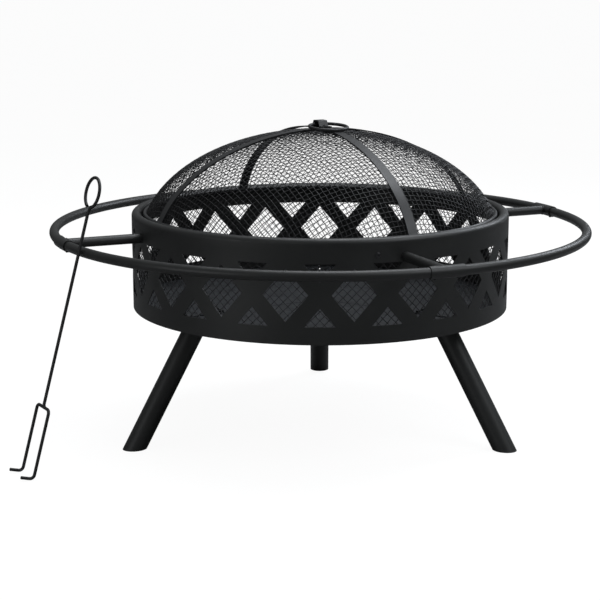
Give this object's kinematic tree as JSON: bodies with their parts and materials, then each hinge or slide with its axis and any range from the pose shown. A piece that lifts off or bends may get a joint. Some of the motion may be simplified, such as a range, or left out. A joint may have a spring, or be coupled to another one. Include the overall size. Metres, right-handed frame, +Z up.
{
  "type": "fire pit",
  "caption": "Round raised steel fire pit with a cross-pierced wall, splayed legs, a guard ring, a domed mesh spark screen with a lifting ring, and a forked poker.",
  "frame": {"origin": "on the drum's vertical axis, at ground level", "axes": "+Z up; the front of the pit faces -Y; +X is to the right as seen from the front"},
  "size_m": [1.1193, 1.086, 0.622],
  "materials": {
    "drum_paint": "satin black heat-proof paint",
    "ring_paint": "semi-gloss black paint",
    "screen_frame": "semi-gloss black paint",
    "mesh_wire": "matt black painted wire",
    "floor_steel": "satin dark grey painted sheet",
    "hardware": "blackened screws and nuts",
    "poker_steel": "satin black rod",
    "foot_plastic": "matt black moulded plastic"
  },
  "bodies": {
    "pit": {"drum_wall": "drum_paint", "liner_mesh": "mesh_wire", "floor_sector_1": "floor_steel", "floor_sector_2": "floor_steel", "floor_sector_3": "floor_steel", "leg_rear": "drum_paint", "leg_front_left": "drum_paint", "leg_front_right": "drum_paint", "foot_cap_rear": "foot_plastic", "foot_cap_front_left": "foot_plastic", "foot_cap_front_right": "foot_plastic", "leg_plate_rear": "drum_paint", "leg_plate_front_left": "drum_paint", "leg_plate_front_right": "drum_paint", "seam_plate_rear": "floor_steel", "seam_plate_front_left": "floor_steel", "seam_plate_front_right": "floor_steel", "leg_bolts": "hardware", "leg_nuts": "hardware", "floor_screws": "hardware", "floor_nuts": "hardware", "ring_segment_right": "ring_paint", "ring_segment_rear": "ring_paint", "ring_segment_left": "ring_paint", "ring_segment_front": "ring_paint", "ring_sleeve_right": "ring_paint", "ring_sleeve_rear": "ring_paint", "ring_sleeve_left": "ring_paint", "ring_sleeve_front": "ring_paint", "arm_right": "ring_paint", "arm_rear": "ring_paint", "arm_left": "ring_paint", "arm_front": "ring_paint", "lid_rest_right": "drum_paint", "lid_rest_rear": "drum_paint", "lid_rest_left": "drum_paint", "lid_rest_front": "drum_paint", "ring_screws": "hardware", "arm_bolts": "hardware", "arm_inserts": "hardware", "lid_rest_screws": "hardware", "lid_rest_nuts": "hardware"},
    "screen": {"screen_dome": "mesh_wire", "screen_hoop": "screen_frame", "screen_rib_lower": "screen_frame", "screen_rib_upper": "screen_frame", "handle_strap": "screen_frame", "handle_bolts": "hardware", "handle_nuts": "hardware"},
    "screen_handle": {"lifting_ring": "screen_frame"},
    "poker": {"poker_rod": "poker_steel", "poker_fork": "poker_steel"}
  },
  "joints": [
    {"name": "screen_lift", "type": "slide", "parent": "pit", "child": "screen", "axis": [0, 0, 1], "range_m": [0, 0.3]},
    {"name": "lifting_ring_turn", "type": "hinge", "parent": "screen", "child": "screen_handle", "pos_m": [-0.00194, 0.0035, 0.614], "axis": [-0.8746, -0.4848, 0], "range_deg": [0, 188]},
    {"name": "poker_lift", "type": "slide", "parent": "pit", "child": "poker", "axis": [0.2315, 0.1328, 0.9637], "range_m": [0, 0.25]}
  ]
}
